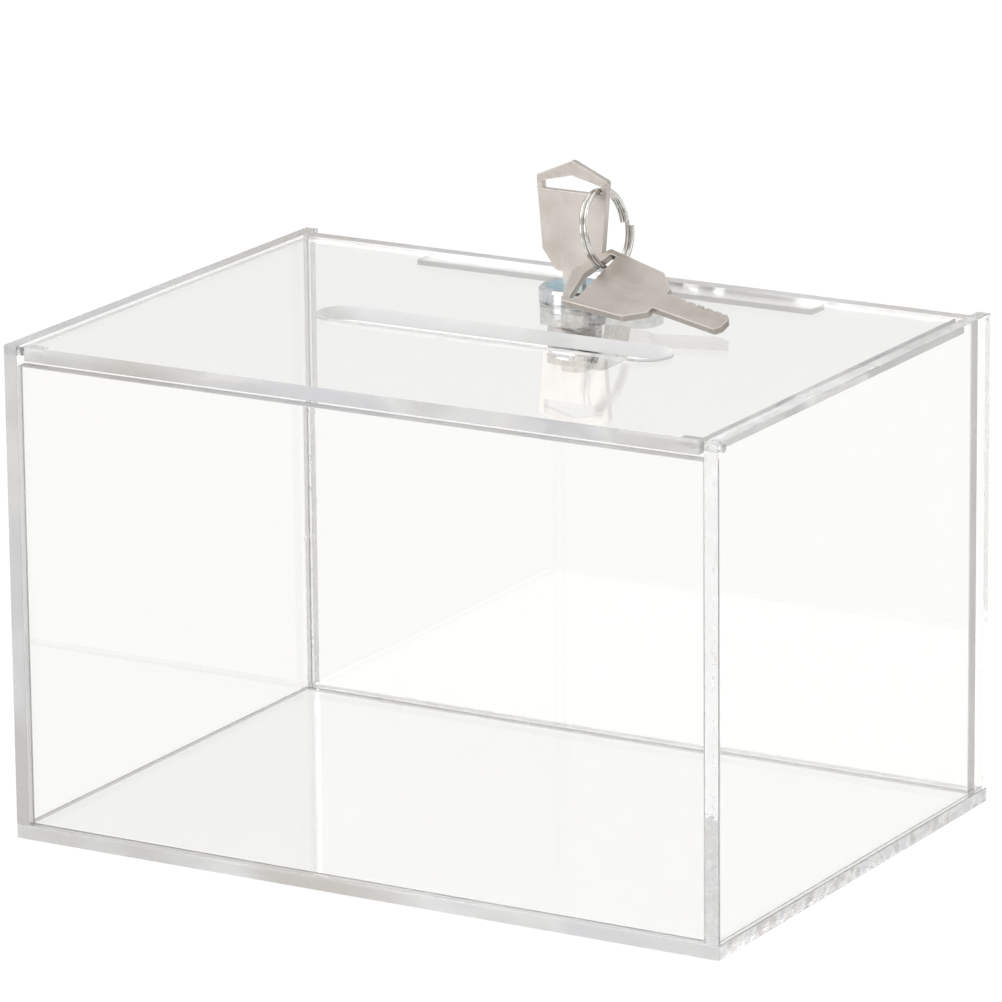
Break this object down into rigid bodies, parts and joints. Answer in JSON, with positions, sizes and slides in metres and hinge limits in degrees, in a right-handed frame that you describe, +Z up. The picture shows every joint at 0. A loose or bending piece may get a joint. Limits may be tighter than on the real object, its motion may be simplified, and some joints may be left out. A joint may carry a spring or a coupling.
{
  "type": "donation box",
  "caption": "Clear acrylic donation box with a slotted, hinged lid, a cam lock near its rear edge and two keys on a split ring.",
  "frame": {"origin": "centre of the base's underside", "axes": "+Z up, +X to the right along the front, +Y from the front to the back"},
  "size_m": [0.16, 0.114, 0.1302],
  "materials": {
    "clear_acrylic": "clear, polished",
    "chromed_zinc": "bright plated",
    "blue_zinc": "blue passivated zinc",
    "zinc_plate": "zinc plated",
    "nickel_silver": "fine brushed",
    "nickel_plate": "bright plated",
    "brass": "stamped",
    "spring_steel": "drawn wire"
  },
  "bodies": {
    "box": {"base_panel": "clear_acrylic", "front_panel": "clear_acrylic", "back_panel": "clear_acrylic", "left_panel": "clear_acrylic", "right_panel": "clear_acrylic", "catch_strip": "clear_acrylic", "hinge_pin_left": "clear_acrylic", "hinge_pin_right": "clear_acrylic"},
    "lid": {"lid": "clear_acrylic", "lock_housing": "chromed_zinc", "lock_nut": "zinc_plate", "lock_washer": "zinc_plate"},
    "plug": {"lock_plug": "blue_zinc", "stop_washer": "zinc_plate", "cam": "zinc_plate", "cam_washer": "zinc_plate", "cam_screw": "zinc_plate", "wafer_1": "brass", "wafer_2": "brass", "wafer_3": "brass", "wafer_4": "brass", "wafer_5": "brass", "wafer_spring_1": "spring_steel", "wafer_spring_2": "spring_steel", "wafer_spring_3": "spring_steel", "wafer_spring_4": "spring_steel", "wafer_spring_5": "spring_steel"},
    "key": {"key": "nickel_silver"},
    "ring": {"split_ring": "nickel_plate"},
    "spare": {"spare_key": "nickel_silver"}
  },
  "joints": [
    {"name": "lid_hinge", "type": "hinge", "parent": "box", "child": "lid", "pos_m": [0, -0.0546, 0.1005], "axis": [1, 0, 0], "range_deg": [0, 190]},
    {"name": "plug_turn", "type": "hinge", "parent": "lid", "child": "plug", "pos_m": [0, 0.03, 0.102], "axis": [0, 0, 1], "range_deg": [0, 90]},
    {"name": "key_pull", "type": "slide", "parent": "plug", "child": "key", "axis": [0, 0, 1], "range_m": [0, 0.02]},
    {"name": "ring_swing", "type": "hinge", "parent": "key", "child": "ring", "pos_m": [0.00581, 0.03, 0.12457], "axis": [0.9802, -0.0428, 0.1935], "range_deg": [-4, 0]},
    {"name": "spare_key_swing", "type": "hinge", "parent": "ring", "child": "spare", "pos_m": [0.00879, 0.02618, 0.1098], "axis": [0.2302, 0.8424, 0.4871], "range_deg": [-5, 0]}
  ]
}
